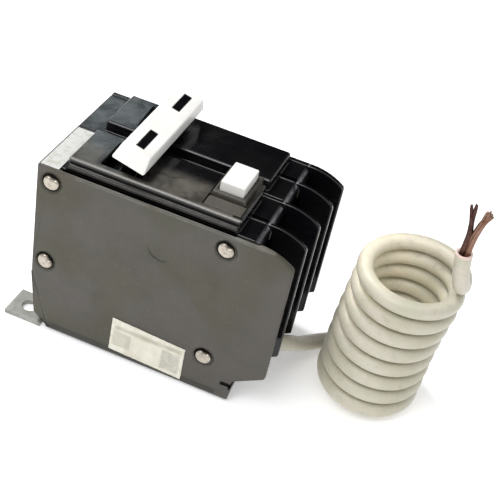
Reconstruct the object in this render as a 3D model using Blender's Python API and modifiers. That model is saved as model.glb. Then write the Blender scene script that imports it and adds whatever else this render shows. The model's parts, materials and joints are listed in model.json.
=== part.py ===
"""Two-pole bolt-on ground-fault circuit breaker, 50.8 mm wide, lying on its mounting back.

X runs from the line end to the load end, Y from the near side to the far side, Z up from the back.
Sizes in this file are millimetres, and the helpers turn them into metres.
"""

import math

import bmesh
import bpy
from mathutils import Matrix, Vector

MM = 0.001
GAP = 0.3
TIGHT_GAP = 0.2

# Case
BODY_LENGTH = 80.0
BODY_WIDTH = 50.8
POLE_PITCH = 25.4
POLE_CENTRE = 12.7
SHELF_Z = 59.5
CASE_SHELF_Z = 59.4
PLATFORM_Z = 63.0
COVER_THICKNESS = 2.0
PARTITION_THICKNESS = 1.4
RIB_THICKNESS = 1.4
WALL = 2.2
PLATFORM_X = (7.8, 61.6)
PLATFORM_Y = (3.4, 22.6)
BULKHEAD_X = (62.0, 64.0)
SHOULDER_RADIUS = 19.5
SHOULDER_START_X = 68.5
LOAD_EDGE_Z = 14.4
RIVET_SPOTS = ((4.9, 54.5), (5.8, 26.2), (59.9, 54.3), (60.2, 14.0))
RIVET_RADIUS = 1.4
RIVET_HEAD_RADIUS = 2.5
RIVET_RECESS_RADIUS = 3.3

# Bolt-on tab
TAB_REACH = 6.1
TAB_THICKNESS = 1.6
TAB_Y = (0.2, 11.8)
TAB_HOLE = (-0.1, 5.8)
TAB_HOLE_RADIUS = 2.5

# Handle
HINGE = (22.6, 52.7)
REST_LEAN = math.radians(13.25)
HANDLE_SLOT_X = (16.9, 29.5)
TIE_TOP = 19.6
TIE_HEIGHT = 4.4
TIE_TOP_WIDTH = 9.1
TIE_BOTTOM_WIDTH = 10.8
TIE_HALF_LENGTH = 22.9
TIE_END_SLOPE = 2.6
WINDOW = (2.7, 10.4)

# Contact system
ARM_PIVOT = (33.0, 44.0)
ARM_LENGTH = 27.0
ARM_REST_ANGLE = math.radians(59.0)
ARM_SWING = math.radians(20.0)
CRADLE_PIVOT = (38.0, 51.0)
ARMATURE_PIVOT = (52.7, 23.5)
TRIP_BAR_AXIS = (47.0, 25.5)
SHELF_TOP_Z = 19.6
SOLENOID_Y = 19.4
SOLENOID_Z = 10.4

# Test button
BUTTON_CENTRE = (54.2, 20.3)
BUTTON_SIZE = (7.6, 12.2)
BUTTON_TOP_Z = 66.4
BUTTON_BOTTOM_Z = 61.6
HOUSING_X = (48.9, 60.6)
HOUSING_Y = (5.8, 28.0)
COLLAR_X = (48.9, 59.5)
COLLAR_Y = (12.0, 28.0)
COLLAR_TOP_Z = 63.6
MOAT_WIDTH = 1.1

# Load end
LUG_X = (66.0, 76.0)
LUG_Z = (26.2, 36.8)
LUG_WIDTH = 8.0
LUG_BORE_Z = 30.2
LUG_BORE_RADIUS = 3.1
LUG_CENTRE_Y = 7.3
NEUTRAL_CENTRE_Y = 32.2

# Pigtail
PIGTAIL_RADIUS = 2.6
PIGTAIL_EXIT = (19.0, 14.3)
COIL_CENTRE = (106.0, 31.7)
COIL_RADII = (14.15, 16.2)
COIL_TOP_RADII = (14.55, 15.1)
COIL_TOP_SHIFT = 1.3
COIL_TURNS = 8.25
COIL_PITCH = 5.76
COIL_LEAN = 0.047
COIL_STEPS = 14
TAIL_END = (121.5, 25.0, 65.2)

ROUND = 16


def clear_scene():
    for obj in list(bpy.data.objects):
        bpy.data.objects.remove(obj, do_unlink=True)


def new_collection(name, hidden=False):
    collection = bpy.data.collections.new(name)
    collection.hide_render = hidden
    bpy.context.scene.collection.children.link(collection)
    return collection


clear_scene()
PARTS = new_collection("gfci_breaker")
CUTTERS = new_collection("cutters", hidden=True)
ORIGIN = bpy.data.objects.new("origin", None)
ORIGIN.location = Vector(((TAB_REACH - BODY_LENGTH) / 2, -BODY_WIDTH / 2, 0.0)) * MM
PARTS.objects.link(ORIGIN)


# Materials


def material(name, colour, roughness, metallic=0.0):
    made = bpy.data.materials.new(name)
    made.use_nodes = True
    shader = made.node_tree.nodes["Principled BSDF"]
    shader.inputs["Base Color"].default_value = (*colour, 1.0)
    shader.inputs["Roughness"].default_value = roughness
    shader.inputs["Metallic"].default_value = metallic
    return made


OLIVE_PLASTIC = material("olive_grey_phenolic", (0.115, 0.105, 0.08), 0.5)
BLACK_PLASTIC = material("black_phenolic", (0.012, 0.012, 0.013), 0.35)
WHITE_PLASTIC = material("white_nylon", (0.85, 0.85, 0.82), 0.4)
STEEL = material("plated_steel", (0.6, 0.6, 0.58), 0.3, 1.0)
DARK_STEEL = material("blued_steel", (0.2, 0.2, 0.22), 0.4, 1.0)
RIVET_STEEL = material("rivet_steel", (0.78, 0.75, 0.68), 0.25, 1.0)
TIN_PLATE = material("tinned_copper", (0.62, 0.62, 0.6), 0.35, 1.0)
COPPER = material("bare_copper", (0.72, 0.35, 0.2), 0.35, 1.0)
SILVER = material("contact_silver", (0.8, 0.8, 0.78), 0.25, 1.0)
FIBRE = material("vulcanised_fibre", (0.35, 0.22, 0.13), 0.8)
BOARD_GREEN = material("circuit_board_green", (0.03, 0.14, 0.06), 0.45)
CORE_BLUE = material("sensor_core_blue", (0.05, 0.12, 0.3), 0.5)
DISC_ORANGE = material("absorber_orange", (0.6, 0.22, 0.04), 0.5)
CAN_ALUMINIUM = material("capacitor_can", (0.7, 0.7, 0.72), 0.3, 1.0)
WIRE_CREAM = material("cream_insulation", (0.72, 0.68, 0.55), 0.5)
LABEL_PAPER = material("label_paper", (0.8, 0.77, 0.68), 0.7)


# Shape helpers


def add_object(name, mesh, surface):
    obj = bpy.data.objects.new(name, mesh)
    obj.parent = ORIGIN
    if surface is None:
        CUTTERS.objects.link(obj)
        obj.hide_render = True
        obj.display_type = "WIRE"
    else:
        PARTS.objects.link(obj)
        mesh.materials.append(surface)
    return obj


def set_origin(obj, point):
    """Moves the object's origin to a point in millimetres, leaving the shape where it is."""
    here = Vector(point) * MM
    obj.data.transform(Matrix.Translation(obj.location - here))
    obj.location = here
    return obj


def mesh_from(build, name):
    shape = bmesh.new()
    build(shape)
    mesh = bpy.data.meshes.new(name)
    shape.to_mesh(mesh)
    shape.free()
    return mesh


def box(name, x, y, z, surface=None):
    """A box between two limits on each axis, with its origin at its middle."""
    middle = [sum(pair) / 2 for pair in (x, y, z)]
    size = [(pair[1] - pair[0]) * MM for pair in (x, y, z)]
    scale = Matrix.Diagonal((*size, 1.0))
    mesh = mesh_from(lambda shape: bmesh.ops.create_cube(shape, size=1.0, matrix=scale), name)
    obj = add_object(name, mesh, surface)
    obj.location = Vector(middle) * MM
    return obj


def cylinder(name, start, end, radius, surface=None, top_radius=None, segments=ROUND):
    """A cylinder or a cone from one point to another."""
    start = Vector(start)
    end = Vector(end)
    turn = (end - start).to_track_quat("Z", "Y").to_matrix().to_4x4()
    radii = (radius * MM, (radius if top_radius is None else top_radius) * MM)
    depth = (end - start).length * MM

    def build(shape):
        bmesh.ops.create_cone(
            shape, cap_ends=True, segments=segments, radius1=radii[0], radius2=radii[1],
            depth=depth, matrix=turn,
        )

    obj = add_object(name, mesh_from(build, name), surface)
    obj.location = (start + end) / 2 * MM
    shade_round(obj)
    return obj


def shade_round(obj, angle=35.0):
    obj.data.shade_smooth()
    obj.data.set_sharp_from_angle(angle=math.radians(angle))


def curve_to_mesh(curve, name):
    """The curve's filled shape as one welded mesh in the coordinates of its parent."""
    holder = bpy.data.objects.new(name + "_curve", curve)
    CUTTERS.objects.link(holder)
    graph = bpy.context.evaluated_depsgraph_get()
    mesh = bpy.data.meshes.new_from_object(holder.evaluated_get(graph))
    shape = bmesh.new()
    shape.from_mesh(mesh)
    bmesh.ops.remove_doubles(shape, verts=shape.verts, dist=0.001 * MM)
    bmesh.ops.recalc_face_normals(shape, faces=shape.faces)
    shape.to_mesh(mesh)
    shape.free()
    bpy.data.objects.remove(holder)
    bpy.data.curves.remove(curve)
    return mesh


def add_outline(curve, points):
    spline = curve.splines.new("POLY")
    spline.points.add(len(points) - 1)
    for spot, (first, second) in zip(spline.points, points):
        spot.co = (first * MM, second * MM, 0.0, 1.0)
    spline.use_cyclic_u = True


def plate(name, outline, y, surface=None, holes=()):
    """A flat outline in the XZ plane, with holes, made solid between two limits on Y."""
    curve = bpy.data.curves.new(name, "CURVE")
    curve.dimensions = "2D"
    curve.fill_mode = "BOTH"
    curve.extrude = (y[1] - y[0]) / 2 * MM
    for loop in (outline, *holes):
        add_outline(curve, loop)
    mesh = curve_to_mesh(curve, name)
    mesh.transform(Matrix.Rotation(math.pi / 2, 4, "X"))
    obj = add_object(name, mesh, surface)
    obj.location = Vector((0.0, (y[0] + y[1]) / 2, 0.0)) * MM
    return obj


def tube(name, points, radius, surface, resolution=2):
    """A round wire along a row of points."""
    curve = bpy.data.curves.new(name, "CURVE")
    curve.dimensions = "3D"
    curve.bevel_depth = radius * MM
    curve.bevel_resolution = resolution
    curve.use_fill_caps = True
    spline = curve.splines.new("POLY")
    spline.points.add(len(points) - 1)
    for spot, point in zip(spline.points, points):
        spot.co = (*(Vector(point) * MM), 1.0)
    obj = add_object(name, curve_to_mesh(curve, name), surface)
    shade_round(obj, 50.0)
    return obj


def boolean(obj, tool, operation):
    step = obj.modifiers.new(tool.name, "BOOLEAN")
    step.operation = operation
    step.object = tool
    step.solver = "EXACT"
    return obj


def cut(obj, *tools):
    for tool in tools:
        boolean(obj, tool, "DIFFERENCE")
    return obj


def join(obj, *tools):
    for tool in tools:
        boolean(obj, tool, "UNION")
    return obj


def soften(obj, width=0.35, segments=1):
    edge = obj.modifiers.new("soft_edges", "BEVEL")
    edge.width = width * MM
    edge.segments = segments
    edge.limit_method = "ANGLE"
    edge.angle_limit = math.radians(40.0)
    edge.use_clamp_overlap = True
    return obj


def arc(centre, radius, start, end, steps):
    """Points on an arc in a plane, with angles in degrees counted from the first axis."""
    angles = [math.radians(start + (end - start) * step / steps) for step in range(steps + 1)]
    return [(centre[0] + radius * math.cos(a), centre[1] + radius * math.sin(a)) for a in angles]


def circle(centre, radius, steps=ROUND):
    return arc(centre, radius, 0.0, 360.0 - 360.0 / steps, steps - 1)


def mirrored(y):
    """Y limits reflected in the middle plane of the breaker."""
    return (BODY_WIDTH - y[1], BODY_WIDTH - y[0])


def pole_middle(pole):
    return POLE_CENTRE + pole * POLE_PITCH


def shifted(y, pole):
    return (y[0] + pole * POLE_PITCH, y[1] + pole * POLE_PITCH)


# Case


def shoulder_arc():
    """The rounded top corner at the load end, from the shelf down to the end face."""
    centre = (SHOULDER_START_X, SHELF_Z - SHOULDER_RADIUS)
    end_x = BODY_LENGTH - 0.5
    reach = math.degrees(math.acos((end_x - SHOULDER_START_X) / SHOULDER_RADIUS))
    curve = arc(centre, SHOULDER_RADIUS, 90.0, reach, 7)
    return curve + [(BODY_LENGTH, curve[-1][1] - 0.9)]


def line_end_edge():
    """The line end from the floor up to the shelf."""
    return [(9.1, 0.0), (3.3, 4.7), (1.6, 20.8), (0.0, SHELF_Z)]


def load_foot():
    return [(BODY_LENGTH, LOAD_EDGE_Z), (71.3, 9.3), (70.0, 0.0)]


def wall_outline():
    return line_end_edge() + shoulder_arc() + load_foot()


def rivet_holes(tag, y):
    radius = RIVET_RADIUS + GAP
    return [
        cylinder(f"{tag}_rivet_hole_{spot}", (x, y[0] - 1, z), (x, y[1] + 1, z), radius)
        for spot, (x, z) in enumerate(RIVET_SPOTS)
    ]


def rivet_recesses(tag, y):
    return [
        cylinder(f"{tag}_rivet_recess_{spot}", (x, y[0], z), (x, y[1], z), RIVET_RECESS_RADIUS)
        for spot, (x, z) in enumerate(RIVET_SPOTS)
    ]


def foot_chamfer(obj, face_y, width=2.0):
    """Bevels the lower outside edge of a side cover."""
    shape = bmesh.new()
    shape.from_mesh(obj.data)
    level = obj.location.y
    near = 0.01 * MM
    edges = [
        edge
        for edge in shape.edges
        if all(abs(v.co.y + level - face_y * MM) < near and v.co.z < near for v in edge.verts)
    ]
    bmesh.ops.bevel(
        shape, geom=edges, offset=width * MM, segments=1, profile=0.5, affect="EDGES",
        offset_type="OFFSET",
    )
    shape.to_mesh(obj.data)
    shape.free()


def side_covers():
    near_y = (0.0, COVER_THICKNESS)
    far_y = mirrored(near_y)
    near = plate("near_side_cover", wall_outline(), near_y, OLIVE_PLASTIC)
    foot_chamfer(near, near_y[0], 1.4)
    cut(near, *rivet_holes("near", near_y), *rivet_recesses("near", (-1.0, 0.8)))
    foot_slot = box("near_foot_slot", (67.0, 70.4), (-1.0, 0.9), (5.9, 7.4))
    corner = [(9.6, -1.0), (1.2, 21.8), (-2.0, 21.8), (-2.0, -1.0)]
    corner_relief = plate("near_corner_relief", corner, (-1.0, 0.7))
    top_rebate = box("near_top_rebate", (8.0, 61.4), (0.7, 3.0), (57.8, 60.5))
    cut(near, foot_slot, corner_relief, top_rebate)
    far = plate("far_side_cover", wall_outline(), far_y, BLACK_PLASTIC)
    foot_chamfer(far, far_y[1], 1.4)
    cut(far, *rivet_holes("far", far_y), *rivet_recesses("far", mirrored((-1.0, 0.8))))


def centre_partition():
    half = PARTITION_THICKNESS / 2
    y = (BODY_WIDTH / 2 - half, BODY_WIDTH / 2 + half)
    bar_window = circle(TRIP_BAR_AXIS, 3.4)
    wire_window = circle((40.0, 12.0), 3.0)
    wall = plate("centre_partition", wall_outline(), y, BLACK_PLASTIC, (bar_window, wire_window))
    cut(wall, *rivet_holes("centre", y))


def case_outline():
    """A pole case between its walls: shelf, deck edge, open terminal bay and lower block."""
    return line_end_edge()[:-1] + [
        (0.0, CASE_SHELF_Z),
        (66.8, CASE_SHELF_Z),
        (68.6, 57.4),
        (68.6, 54.6),
        (BULKHEAD_X[1], 54.6),
        (BULKHEAD_X[1], 24.0),
        (75.0, 24.0),
        (75.0, 12.4),
        (71.0, 10.2),
        (69.6, 0.0),
    ]


def case_cavity():
    return [
        (9.9, 2.2),
        (5.5, 5.8),
        (3.8, 21.0),
        (2.3, SHELF_Z - WALL),
        (BULKHEAD_X[0], SHELF_Z - WALL),
        (BULKHEAD_X[0], 22.0),
        (73.0, 22.0),
        (73.0, 13.7),
        (69.2, 11.6),
        (67.8, 2.2),
    ]


def rib_outline():
    return [(61.0, 9.3), (61.0, SHELF_Z)] + shoulder_arc() + load_foot()[:2]


def terminal_tab_notch(pole):
    y = shifted((TAB_Y[0] + 2.1, TAB_Y[1] + GAP), pole)
    return box(f"tab_notch_{pole}", (-1.0, 26.2), y, (-1.0, TAB_THICKNESS + 0.9))


def pole_case(name, pole):
    """The frame of one pole: pole 1 is the mirror image of pole 0 in the middle plane."""
    side = mirrored if pole else (lambda y: y)
    y = side((COVER_THICKNESS + GAP, BODY_WIDTH / 2 - PARTITION_THICKNESS / 2 - GAP))
    centre = pole_middle(pole)
    case = plate(name, case_outline(), y, BLACK_PLASTIC, (case_cavity(),))
    platform = box(f"{name}_platform", PLATFORM_X, side(PLATFORM_Y), (57.6, PLATFORM_Z))
    soften(platform, 0.7, 2)
    ledge_y = side((COVER_THICKNESS + GAP, PLATFORM_Y[0] + 1.5))
    ledge = box(f"{name}_ledge", (8.2, 61.2), ledge_y, (58.4, 61.3))
    soften(ledge, 0.4)
    rib_y = (centre - RIB_THICKNESS / 2, centre + RIB_THICKNESS / 2)
    rib = plate(f"{name}_rib", rib_outline(), rib_y)
    bosses = [
        cylinder(f"{name}_boss_{spot}", (x, y[0] + 0.1, z), (x, y[1] - 0.1, z), 3.1)
        for spot, (x, z) in enumerate(RIVET_SPOTS)
    ]
    join(case, platform, ledge, rib, *bosses)
    roof = box(f"{name}_roof", (9.4, 46.0), side((5.2, 20.9)), (55.0, 60.8))
    slot = box(f"{name}_handle_slot", HANDLE_SLOT_X, (centre - 6.7, centre + 6.7), (57.0, 64.0))
    lug_y = side((3.2, 11.4))
    strap = box(f"{name}_strap_window", (61.0, 65.0), lug_y, (23.0, 26.4))
    cut(case, roof, slot, strap, terminal_tab_notch(pole), *rivet_holes(name, y))
    return case


def cases():
    near = pole_case("pole_case_a", 0)
    pocket_x = (HOUSING_X[0] - GAP, HOUSING_X[1] + GAP)
    pocket = box("housing_pocket", pocket_x, (HOUSING_Y[0] - GAP, 25.0), (SHELF_Z, 65.0))
    stem_well = cylinder("stem_well", (*BUTTON_CENTRE, 50.0), (*BUTTON_CENTRE, 66.0), 1.6)
    pigtail_y, pigtail_z = PIGTAIL_EXIT
    exit_hole = cylinder(
        "pigtail_hole", (64.5, pigtail_y, pigtail_z), (77.0, pigtail_y, pigtail_z), PIGTAIL_RADIUS + GAP
    )
    cut(near, pocket, stem_well, exit_hole)
    far = pole_case("pole_case_b", 1)
    neutral_y = (NEUTRAL_CENTRE_Y - 3.0, NEUTRAL_CENTRE_Y + 3.0)
    cut(far, box("neutral_window", (61.0, 65.0), neutral_y, (23.0, 26.4)))


def rivets():
    """Through rivets with a low domed head in a recess at each side."""
    for spot, (x, z) in enumerate(RIVET_SPOTS, start=1):
        name = f"rivet_{spot}"
        rivet = cylinder(name, (x, 0.4, z), (x, BODY_WIDTH - 0.4, z), RIVET_RADIUS, RIVET_STEEL)
        heads = [
            cylinder(f"{name}_{side}_head", (x, inner, z), (x, outer, z), RIVET_HEAD_RADIUS, top_radius=1.9)
            for side, inner, outer in (("near", 0.5, -0.5), ("far", BODY_WIDTH - 0.5, BODY_WIDTH + 0.5))
        ]
        join(rivet, *heads)


# Handle


def handle_axis():
    """The hinge of both handles, leaning to the load end in the off position."""
    axis = bpy.data.objects.new("handle_axis", None)
    axis.parent = ORIGIN
    axis.location = Vector((HINGE[0], BODY_WIDTH / 2, HINGE[1])) * MM
    axis.rotation_euler = (0.0, REST_LEAN, 0.0)
    PARTS.objects.link(axis)
    return axis


def on_axis(obj, axis):
    """Hangs a piece drawn upright about the hinge, and its tools, on the leaning axis."""
    for piece in [obj] + [step.object for step in obj.modifiers if step.type == "BOOLEAN"]:
        piece.parent = axis
    return obj


def handle(name, pole, axis):
    """A handle in the axis's own coordinates: hub, tapered lever, narrow tip and curved apron."""
    middle = (pole - 0.5) * POLE_PITCH
    tip = TIE_TOP + 0.1
    neck = TIE_TOP - TIE_HEIGHT - 0.4
    lever_outline = [
        (-1.1, tip), (-1.1, neck + 0.2), (-2.2, neck), (-2.7, 0.0), (2.7, 0.0), (2.2, neck),
        (1.1, neck + 0.2), (1.1, tip),
    ]
    lever = plate(name, lever_outline, (middle - 4.9, middle + 4.9), BLACK_PLASTIC)
    hub = cylinder(f"{name}_hub", (0, middle - 5.4, 0), (0, middle + 5.4, 0), 4.6)
    sweep = arc((0, 0), 7.8, 150.0, 30.0, 10) + arc((0, 0), 6.5, 30.0, 150.0, 10)
    apron = plate(f"{name}_apron", sweep, (middle - 6.2, middle + 6.2))
    bore = cylinder(f"{name}_bore", (0, middle - 7, 0), (0, middle + 7, 0), RIVET_RADIUS + GAP)
    join(lever, hub, apron)
    cut(lever, bore)
    set_origin(lever, (0, middle, 0))
    return on_axis(lever, axis)


def tapered_box(name, size, top_size, height, surface=None):
    """A box standing on z = 0 whose top is smaller than its bottom."""

    def build(shape):
        bmesh.ops.create_cube(shape, size=1.0)
        for vertex in shape.verts:
            across = top_size if vertex.co.z > 0 else size
            level = height if vertex.co.z > 0 else 0.0
            vertex.co = Vector((2 * vertex.co.x * across[0], 2 * vertex.co.y * across[1], level)) * MM

    return add_object(name, mesh_from(build, name), surface)


def handle_tie(axis):
    """The bar that joins both handles, hollow below, with a window over each handle's tip."""
    bottom = TIE_TOP - TIE_HEIGHT
    size = (TIE_BOTTOM_WIDTH / 2, TIE_HALF_LENGTH)
    top_size = (TIE_TOP_WIDTH / 2, TIE_HALF_LENGTH - TIE_END_SLOPE)
    tie = tapered_box("handle_tie", size, top_size, TIE_HEIGHT, WHITE_PLASTIC)
    tie.location = (0, 0, bottom * MM)
    hollow_x = (-TIE_TOP_WIDTH / 2 + 1.0, TIE_TOP_WIDTH / 2 - 1.0)
    hollow_y = (-TIE_HALF_LENGTH + 3.4, TIE_HALF_LENGTH - 3.4)
    hollow = box("tie_hollow", hollow_x, hollow_y, (bottom - 1.0, TIE_TOP - 1.4))
    windows = []
    for pole in (0, 1):
        middle = (pole - 0.5) * POLE_PITCH
        y = (middle - WINDOW[1] / 2, middle + WINDOW[1] / 2)
        x = (-WINDOW[0] / 2, WINDOW[0] / 2)
        windows.append(box(f"tie_window_{pole}", x, y, (bottom - 1.0, TIE_TOP + 1.0)))
    cut(tie, hollow, *windows)
    return on_axis(tie, axis)


def handles():
    axis = handle_axis()
    for pole, letter in enumerate("ab"):
        handle(f"handle_{letter}", pole, axis)
        y = shifted((5.0, 20.4), pole)
        x, z = HINGE
        cylinder(f"handle_pin_{letter}", (x, y[0], z), (x, y[1], z), RIVET_RADIUS, STEEL)
    handle_tie(axis)


# Switching mechanism of one pole


def mechanism_frame(name, pole):
    """Two steel side plates joined by a web below."""
    outline = [(14.0, 49.0), (14.0, 56.6), (49.0, 56.6), (49.0, 34.0), (41.0, 34.0), (30.0, 39.5)]
    holes = [circle(spot, RIVET_RADIUS + GAP) for spot in (HINGE, ARM_PIVOT, CRADLE_PIVOT)]
    near = plate(name, outline, shifted((5.4, 6.2), pole), STEEL, holes)
    far = plate(f"{name}_far_plate", outline, shifted((19.2, 20.0), pole), None, holes)
    web = box(f"{name}_web", (41.5, 48.5), shifted((5.6, 19.8), pole), (34.0, 34.8))
    return join(near, far, web)


def arm_point(along, across, angle=ARM_REST_ANGLE):
    """A point on the contact arm in XZ, a distance along it and across it."""
    x = ARM_PIVOT[0] - along * math.sin(angle) - across * math.cos(angle)
    z = ARM_PIVOT[1] - along * math.cos(angle) + across * math.sin(angle)
    return (x, z)


def contact_arm(name, pole):
    middle = pole_middle(pole)
    sides = [(0, -1.6), (0, 1.6), (14, 1.6), (19, 0.9), (ARM_LENGTH + 1.6, 0.9), (ARM_LENGTH + 1.6, -0.9),
             (19, -0.9), (14, -1.6)]
    outline = [arm_point(along, across) for along, across in sides]
    arm = plate(name, outline, (middle - 2.5, middle + 2.5), COPPER)
    x, z = ARM_PIVOT
    hub = cylinder(f"{name}_hub", (x, middle - 3.2, z), (x, middle + 3.2, z), 3.0)
    pin = cylinder(f"{name}_trunnion", (x, middle - 7.7, z), (x, middle + 7.7, z), RIVET_RADIUS)
    join(arm, hub, pin)
    set_origin(arm, (x, middle, z))


def moving_contact(name, pole):
    """The silver pad under the arm's tip."""
    middle = pole_middle(pole)
    top = arm_point(ARM_LENGTH, -0.9 - TIGHT_GAP)
    foot = arm_point(ARM_LENGTH, -2.1 - TIGHT_GAP)
    pad = cylinder(name, (top[0], middle, top[1]), (foot[0], middle, foot[1]), 2.2, SILVER, 1.9)
    set_origin(pad, (ARM_PIVOT[0], middle, ARM_PIVOT[1]))


def closed_pad_centre():
    """Where the moving pad's face comes to rest when the contacts are closed."""
    return arm_point(ARM_LENGTH, -2.1 - TIGHT_GAP, ARM_REST_ANGLE - ARM_SWING)


def fixed_contact(name, pole):
    middle = pole_middle(pole)
    face = closed_pad_centre()
    angle = ARM_REST_ANGLE - ARM_SWING
    away = Vector((math.cos(angle), 0.0, -math.sin(angle)))
    start = Vector((face[0], middle, face[1])) + away * GAP
    cylinder(name, start + away * 1.2, start, 2.4, SILVER, 2.1)


def line_terminal(name, pole):
    """The bolt-on tab, its riser and the anvil that carries the fixed contact."""
    y = shifted(TAB_Y, pole)
    inside_y = (y[0] + 2.4, y[1])
    middle = pole_middle(pole)
    tab = box(name, (-TAB_REACH, 6.3), y, (0.0, TAB_THICKNESS), TIN_PLATE)
    strap = box(f"{name}_strap", (5.0, 25.6), inside_y, (0.0, TAB_THICKNESS))
    riser = box(f"{name}_riser", (24.0, 25.6), inside_y, (0.4, SHELF_TOP_Z - 2.0))
    face = closed_pad_centre()
    angle = ARM_REST_ANGLE - ARM_SWING
    depth = 1.2 + GAP + TIGHT_GAP
    along = Vector((-math.sin(angle), 0.0, -math.cos(angle)))
    away = Vector((math.cos(angle), 0.0, -math.sin(angle)))
    pad = Vector((face[0], 0.0, face[1])) + away * depth
    upper = pad + along * 3.2
    lower = pad - along * 3.2
    knee = (25.6, SHELF_TOP_Z - 3.6)
    outline = [
        (upper.x, upper.z),
        (lower.x, lower.z),
        (knee[0], knee[1] + 1.6),
        knee,
        (lower.x + away.x * 1.2, knee[1]),
        (upper.x + away.x * 1.8, upper.z + away.z * 1.8),
    ]
    anvil = plate(f"{name}_anvil", outline, (middle - 3.4, middle + 3.4))
    join(tab, strap, riser, anvil)
    x, hole_y = TAB_HOLE
    hole_y += pole * POLE_PITCH
    cut(tab, cylinder(f"{name}_hole", (x, hole_y, -1), (x, hole_y, 3), TAB_HOLE_RADIUS))


def cradle(name, pole):
    """The latched lever: it drops at its tip when the breaker trips."""
    y = shifted((16.2, 17.4), pole)
    outline = [(35.8, 52.4), (40.5, 53.0), (51.3, 45.2), (51.0, 43.2), (40.0, 48.0), (35.8, 49.2)]
    lever = plate(name, outline, y, DARK_STEEL)
    x, z = CRADLE_PIVOT
    pin = cylinder(f"{name}_pin", (x, y[0] + 0.2, z), (x, y[1] + 3.0, z), RIVET_RADIUS)
    hook = cylinder(f"{name}_hook", (37.4, y[0] - 4.6, 50.4), (37.4, y[1] - 0.2, 50.4), 0.8, segments=12)
    join(lever, pin, hook)
    set_origin(lever, (x, pole_middle(pole), z))


def helix(start, end, radius, turns, steps):
    """Points along a coil between two points on its axis."""
    start = Vector(start)
    axis = Vector(end) - start
    frame = axis.to_track_quat("Z", "Y").to_matrix()
    points = []
    for step in range(round(turns * steps) + 1):
        angle = 2 * math.pi * step / steps
        across = frame @ Vector((radius * math.cos(angle), radius * math.sin(angle), 0.0))
        points.append(start + axis * (step / (turns * steps)) + across)
    return points


def toggle_spring(name, pole):
    """The over-centre spring, hooked on the cradle's pin."""
    middle = pole_middle(pole)
    coil = helix((29.0, middle, 48.8), (36.0, middle, 50.2), 1.4, 5, 8)
    spring = tube(name, coil, 0.3, STEEL, resolution=1)
    set_origin(spring, (CRADLE_PIVOT[0], middle, CRADLE_PIVOT[1]))


def magnet_yoke(name, pole):
    """Two steel cheeks that carry the armature's pin, joined by a back."""
    outline = [(51.2, 21.8), (60.6, 21.8), (60.6, 36.0), (55.4, 36.0), (55.4, 27.5), (51.2, 25.4)]
    hole = circle(ARMATURE_PIVOT, 1.3, 16)
    cheek = plate(name, outline, shifted((7.2, 8.2), pole), DARK_STEEL, (hole,))
    other = plate(f"{name}_cheek", outline, shifted((17.2, 18.2), pole), None, (hole,))
    back = box(f"{name}_back", (59.4, 60.5), shifted((7.4, 18.0), pole), (27.0, 35.9))
    join(cheek, other, back)


def armature(name, pole):
    """The plate that the magnet pulls, turning on a pin at its foot."""
    x, z = ARMATURE_PIVOT
    middle = pole_middle(pole)
    leaf = box(name, (x - 0.6, x + 0.6), (middle - 4.0, middle + 4.0), (z, 43.0), DARK_STEEL)
    pin = cylinder(f"{name}_pin", (x, middle - 5.8, z), (x, middle + 5.8, z), 1.0, segments=16)
    join(leaf, pin)
    set_origin(leaf, (x, middle, z))


def bimetal(name, pole):
    middle = pole_middle(pole)
    box(name, (56.4, 57.2), (middle - 2.4, middle + 2.4), (18.6, 44.0), COPPER)


def load_strap(name, pole):
    """The strap from the foot of the bimetal through the bulkhead to the lug."""
    side = mirrored if pole else (lambda y: y)
    foot = box(name, (57.5, 58.7), side((8.8, 15.0)), (18.6, 25.0), COPPER)
    turn = box(f"{name}_turn", (57.8, 60.6), side((8.8, 14.9)), (24.4, 25.6))
    tail = box(f"{name}_tail", (58.4, 76.0), side((8.8, 10.4)), (24.4, 25.6))
    palm = box(f"{name}_palm", (61.2, 76.0), side((4.0, 10.4)), (24.4, 25.6))
    join(foot, turn, tail, palm)


def wire_lug(name, middle, bottom):
    """A box lug: the wire goes in along X and the screw comes down from above."""
    y = (middle - LUG_WIDTH / 2, middle + LUG_WIDTH / 2)
    lug = box(name, LUG_X, y, (bottom, LUG_Z[1]), TIN_PLATE)
    soften(lug, 0.5)
    centre_x = sum(LUG_X) / 2
    ends = [(x, middle, LUG_BORE_Z) for x in (LUG_X[0] - 1, LUG_X[1] + 1)]
    bore = cylinder(f"{name}_bore", *ends, LUG_BORE_RADIUS)
    thread = cylinder(f"{name}_thread", (centre_x, middle, 31.0), (centre_x, middle, 38.0), 1.9)
    return cut(lug, bore, thread)


def lug_screw(name, middle):
    centre_x = sum(LUG_X) / 2
    screw = cylinder(name, (centre_x, middle, 32.6), (centre_x, middle, 38.4), 1.6, STEEL)
    head = cylinder(f"{name}_head", (centre_x, middle, 37.6), (centre_x, middle, 40.2), 2.8)
    join(screw, head)
    cut(screw, box(f"{name}_slot", (centre_x - 4, centre_x + 4), (middle - 0.5, middle + 0.5), (39.2, 41)))
    set_origin(screw, (centre_x, middle, 37.6))


def terminals():
    for pole, letter in enumerate("ab"):
        middle = BODY_WIDTH - LUG_CENTRE_Y if pole else LUG_CENTRE_Y
        load_strap(f"load_strap_{letter}", pole)
        wire_lug(f"load_lug_{letter}", middle, LUG_Z[0])
        lug_screw(f"lug_screw_{letter}", middle)
    neutral = wire_lug("neutral_lug", NEUTRAL_CENTRE_Y, 24.4)
    tongue_y = (NEUTRAL_CENTRE_Y - 2.0, NEUTRAL_CENTRE_Y + 2.0)
    join(neutral, box("neutral_tongue", (61.2, 67.0), tongue_y, (24.6, 25.7)))
    lug_screw("neutral_screw", NEUTRAL_CENTRE_Y)


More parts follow.
